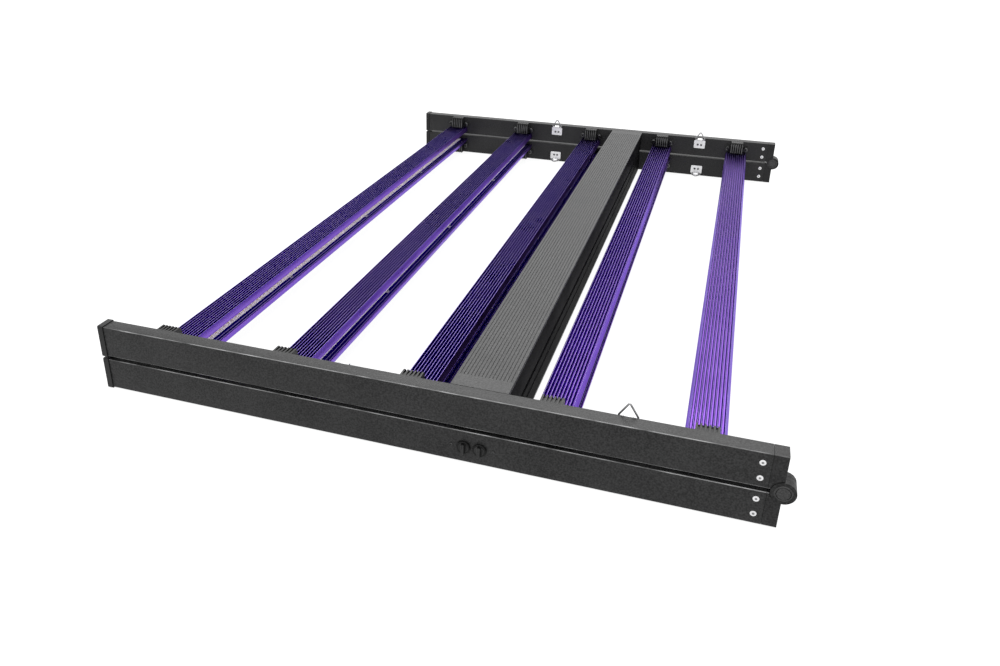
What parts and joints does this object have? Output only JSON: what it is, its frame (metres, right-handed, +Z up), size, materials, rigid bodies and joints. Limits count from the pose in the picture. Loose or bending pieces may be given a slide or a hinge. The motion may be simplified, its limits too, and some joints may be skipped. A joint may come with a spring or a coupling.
{
  "type": "led grow light",
  "caption": "Folding LED grow light: two hinged black tube frames with purple finned LED bars, a long driver on each half, dimmer knobs and wire hanging rings.",
  "frame": {"origin": "centre of the folded outline, at the underside of the lower end caps", "axes": "+X along the rails towards the hinge, +Y from the front rails to the back rails along the LED bars, +Z up, away from the surface the folded light lies on"},
  "size_m": [0.7567, 1.1052, 0.0931],
  "materials": {
    "powder_coat_black": "matt powder coat",
    "cap_plastic": "matt",
    "hinge_black": "satin black",
    "purple_anodised": "satin anodised",
    "led_strip": "matt",
    "driver_lid_grey": "satin ribbed",
    "driver_case_black": "satin",
    "zinc_steel": "bright zinc",
    "knob_black": "satin",
    "circuit_board": "matt"
  },
  "bodies": {
    "lower_half": {"back_hinge_pin": "hinge_black", "front_hinge_pin": "hinge_black", "dimmer_module": "circuit_board", "lower_front_rail": "powder_coat_black", "lower_front_end_cap": "cap_plastic", "lower_front_hinge_leaf": "hinge_black", "lower_front_hook_plate_left": "zinc_steel", "lower_front_hook_plate_right": "zinc_steel", "lower_back_rail": "powder_coat_black", "lower_back_end_cap": "cap_plastic", "lower_back_hinge_leaf": "hinge_black", "lower_back_hook_plate_left": "zinc_steel", "lower_back_hook_plate_right": "zinc_steel", "lower_bar_1": "purple_anodised", "lower_led_strip_1": "led_strip", "lower_bar_2": "purple_anodised", "lower_led_strip_2": "led_strip", "lower_bar_3": "purple_anodised", "lower_led_strip_3": "led_strip", "lower_bar_4": "purple_anodised", "lower_led_strip_4": "led_strip", "lower_bar_5": "purple_anodised", "lower_led_strip_5": "led_strip", "lower_driver_case": "driver_case_black", "lower_driver_lid": "driver_lid_grey", "lower_driver_board": "circuit_board"},
    "upper_half": {"upper_front_rail": "powder_coat_black", "upper_front_end_cap": "cap_plastic", "upper_front_hinge_leaf": "hinge_black", "upper_front_hook_plate_left": "zinc_steel", "upper_front_hook_plate_right": "zinc_steel", "upper_back_rail": "powder_coat_black", "upper_back_end_cap": "cap_plastic", "upper_back_hinge_leaf": "hinge_black", "upper_back_hook_plate_left": "zinc_steel", "upper_back_hook_plate_right": "zinc_steel", "upper_bar_1": "purple_anodised", "upper_led_strip_1": "led_strip", "upper_bar_2": "purple_anodised", "upper_led_strip_2": "led_strip", "upper_bar_3": "purple_anodised", "upper_led_strip_3": "led_strip", "upper_bar_4": "purple_anodised", "upper_led_strip_4": "led_strip", "upper_bar_5": "purple_anodised", "upper_led_strip_5": "led_strip", "upper_driver_case": "driver_case_black", "upper_driver_lid": "driver_lid_grey", "upper_driver_board": "circuit_board"},
    "lower_front_ring_left_body": {"lower_front_ring_left": "zinc_steel"},
    "lower_front_ring_right_body": {"lower_front_ring_right": "zinc_steel"},
    "lower_back_ring_left_body": {"lower_back_ring_left": "zinc_steel"},
    "lower_back_ring_right_body": {"lower_back_ring_right": "zinc_steel"},
    "upper_front_ring_left_body": {"upper_front_ring_left": "zinc_steel"},
    "upper_front_ring_right_body": {"upper_front_ring_right": "zinc_steel"},
    "upper_back_ring_left_body": {"upper_back_ring_left": "zinc_steel"},
    "upper_back_ring_right_body": {"upper_back_ring_right": "zinc_steel"},
    "dimmer_knob_left_body": {"dimmer_knob_left": "knob_black"},
    "dimmer_knob_right_body": {"dimmer_knob_right": "knob_black"}
  },
  "joints": [
    {"name": "fold", "type": "hinge", "parent": "lower_half", "child": "upper_half", "pos_m": [0.36662, 0.00265, 0.0408], "axis": [0, 1, 0], "range_deg": [0, 180]},
    {"name": "lower_front_ring_left_swing", "type": "hinge", "parent": "lower_half", "child": "lower_front_ring_left_body", "pos_m": [-0.07758, -0.52565, 0.0042], "axis": [1, 0, 0], "range_deg": [-118, 75]},
    {"name": "lower_front_ring_right_swing", "type": "hinge", "parent": "lower_half", "child": "lower_front_ring_right_body", "pos_m": [0.22062, -0.52565, 0.0042], "axis": [1, 0, 0], "range_deg": [-118, 75]},
    {"name": "lower_back_ring_left_swing", "type": "hinge", "parent": "lower_half", "child": "lower_back_ring_left_body", "pos_m": [-0.07758, 0.53095, 0.0042], "axis": [-1, 0, 0], "range_deg": [-118, 75]},
    {"name": "lower_back_ring_right_swing", "type": "hinge", "parent": "lower_half", "child": "lower_back_ring_right_body", "pos_m": [0.22062, 0.53095, 0.0042], "axis": [-1, 0, 0], "range_deg": [-118, 75]},
    {"name": "upper_front_ring_left_swing", "type": "hinge", "parent": "upper_half", "child": "upper_front_ring_left_body", "pos_m": [-0.07758, -0.52565, 0.0774], "axis": [-1, 0, 0], "range_deg": [-193, 0]},
    {"name": "upper_front_ring_right_swing", "type": "hinge", "parent": "upper_half", "child": "upper_front_ring_right_body", "pos_m": [0.22062, -0.52565, 0.0774], "axis": [-1, 0, 0], "range_deg": [-28, 165]},
    {"name": "upper_back_ring_left_swing", "type": "hinge", "parent": "upper_half", "child": "upper_back_ring_left_body", "pos_m": [-0.07758, 0.53095, 0.0774], "axis": [1, 0, 0], "range_deg": [-28, 165]},
    {"name": "upper_back_ring_right_swing", "type": "hinge", "parent": "upper_half", "child": "upper_back_ring_right_body", "pos_m": [0.22062, 0.53095, 0.0774], "axis": [1, 0, 0], "range_deg": [-28, 165]},
    {"name": "dimmer_knob_left_turn", "type": "hinge", "parent": "lower_half", "child": "dimmer_knob_left_body", "pos_m": [0.06193, -0.54615, 0.0198], "axis": [0, -1, 0], "range_deg": [-135, 135]},
    {"name": "dimmer_knob_right_turn", "type": "hinge", "parent": "lower_half", "child": "dimmer_knob_right_body", "pos_m": [0.07902, -0.54615, 0.0198], "axis": [0, -1, 0], "range_deg": [-135, 135]}
  ]
}
